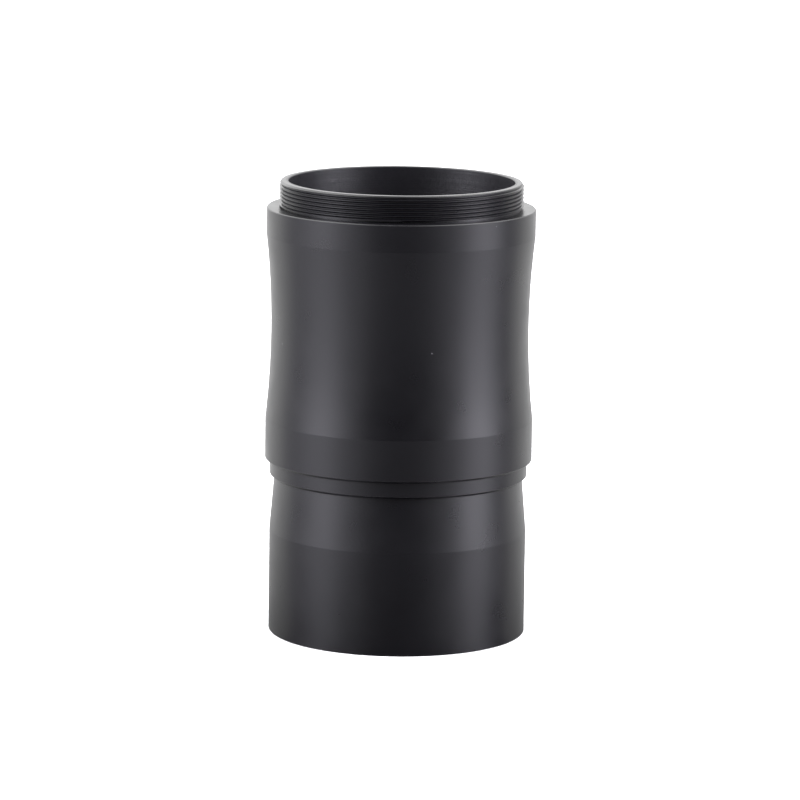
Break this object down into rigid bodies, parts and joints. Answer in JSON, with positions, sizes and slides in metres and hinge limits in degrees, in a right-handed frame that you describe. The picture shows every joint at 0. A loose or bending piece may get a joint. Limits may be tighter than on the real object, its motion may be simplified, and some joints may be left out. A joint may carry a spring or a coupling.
{
  "type": "laser collimator",
  "caption": "Laser collimator with a two-inch nosepiece, waisted cylindrical body, threaded rear rim and a tilting laser tube on adjusting screws inside.",
  "frame": {"origin": "centre of the nosepiece's mouth face, at the bottom of the box", "axes": "+Z along the axis, from the nosepiece's mouth to the threaded rear rim; +Y towards the first adjusting screw; -Y towards the push button"},
  "size_m": [0.0528, 0.0528, 0.0896],
  "materials": {
    "shell_anodised": "satin black anodising over a fine blasted surface",
    "inner_anodised": "matte black anodising over turned faces",
    "cap_anodised": "satin black anodising, knurled edge",
    "target_white": "matte white with engraved rings",
    "window_glass": "clear coated glass",
    "brass": "turned brass",
    "screw_steel": "black oxide steel",
    "washer_steel": "bright stamped steel",
    "spring_steel": "bright spring wire",
    "gold_can": "gold plated can",
    "nickel": "nickel plate",
    "board_green": "solder resist on glass-epoxy board",
    "chip_black": "moulded epoxy",
    "cup_plastic": "moulded black acetal",
    "switch_plastic": "moulded black nylon",
    "button_red": "moulded red plastic",
    "lead_red": "red insulation",
    "lead_black": "black insulation",
    "seal_rubber": "nitrile rubber"
  },
  "bodies": {
    "housing": {"rear_body": "shell_anodised", "nosepiece_barrel": "shell_anodised", "front_plate": "inner_anodised", "target_face": "target_white", "front_retaining_ring": "inner_anodised", "beam_window": "window_glass", "window_clip": "spring_steel", "rear_plate": "inner_anodised", "adjuster_bushes": "brass", "head_washers": "washer_steel", "screw_clips": "washer_steel", "rear_retaining_ring": "inner_anodised"},
    "adjuster_1": {"adjusting_screw_1": "screw_steel"},
    "adjuster_2": {"adjusting_screw_2": "screw_steel"},
    "adjuster_3": {"adjusting_screw_3": "screw_steel"},
    "spring_set": {"adjuster_springs": "spring_steel"},
    "laser_unit": {"tilt_plate": "inner_anodised", "adjuster_nuts": "brass", "laser_tube": "inner_anodised", "tube_lock_ring": "inner_anodised", "module_barrel": "brass", "module_grub_screws": "screw_steel", "lens_cell": "brass", "collimating_lens": "window_glass", "lens_spring": "spring_steel", "laser_diode": "gold_can", "driver_board": "board_green", "driver_components": "chip_black", "battery_cup": "cup_plastic", "battery_contact": "nickel", "battery_contact_spring": "nickel", "coin_cell": "nickel", "switch_body": "switch_plastic", "switch_terminals": "nickel", "switch_spring": "spring_steel", "switch_lead_red": "lead_red", "switch_lead_black": "lead_black", "battery_lead": "lead_black"},
    "cap_seal": {"battery_cap_o_ring": "seal_rubber"},
    "cap": {"battery_cap": "cap_anodised", "cap_contact_washer": "nickel"},
    "button": {"push_button": "button_red"}
  },
  "joints": [
    {"name": "screw_1_turn", "type": "hinge", "parent": "housing", "child": "adjuster_1", "pos_m": [0, 0.0171, 0.0646], "axis": [0, 0, 1], "range_deg": [-270, 270]},
    {"name": "screw_2_turn", "type": "hinge", "parent": "housing", "child": "adjuster_2", "pos_m": [0.01481, -0.00855, 0.0646], "axis": [0, 0, 1], "range_deg": [-160, 160]},
    {"name": "screw_3_turn", "type": "hinge", "parent": "housing", "child": "adjuster_3", "pos_m": [-0.01481, -0.00855, 0.0646], "axis": [0, 0, 1], "range_deg": [-160, 160]},
    {"name": "tilt_x", "type": "hinge", "parent": "housing", "child": "spring_set", "pos_m": [0, -0.00855, 0.0646], "axis": [1, 0, 0], "range_deg": [-0.84, 0.84], "deforming": ["adjuster_springs"]},
    {"name": "tilt_y", "type": "hinge", "parent": "spring_set", "child": "laser_unit", "pos_m": [0, -0.00855, 0.0646], "axis": [0, -1, 0], "range_deg": [-0.86, 0.86]},
    {"name": "cap_lift", "type": "slide", "parent": "laser_unit", "child": "cap_seal", "axis": [0, 0, 1], "range_m": [0, 0.0045]},
    {"name": "cap_turn", "type": "hinge", "parent": "cap_seal", "child": "cap", "pos_m": [0, 0, 0.0799], "axis": [0, 0, 1], "range_deg": [0, 1620]},
    {"name": "button_press", "type": "slide", "parent": "laser_unit", "child": "button", "axis": [0, 0, -1], "range_m": [0, 0.0012], "stiffness_N_per_m": 1000, "springref_m": -0.0008, "deforming": ["switch_spring"]}
  ],
  "couplings": [
    {"joint": "screw_1_turn", "follows": "tilt_x", "ratio": -322.33},
    {"joint": "screw_2_turn", "follows": "tilt_y", "ratio": -186.1},
    {"joint": "screw_3_turn", "follows": "tilt_y", "ratio": 186.1},
    {"joint": "cap_lift", "follows": "cap_turn", "m_per_rad": 0.00015915}
  ]
}
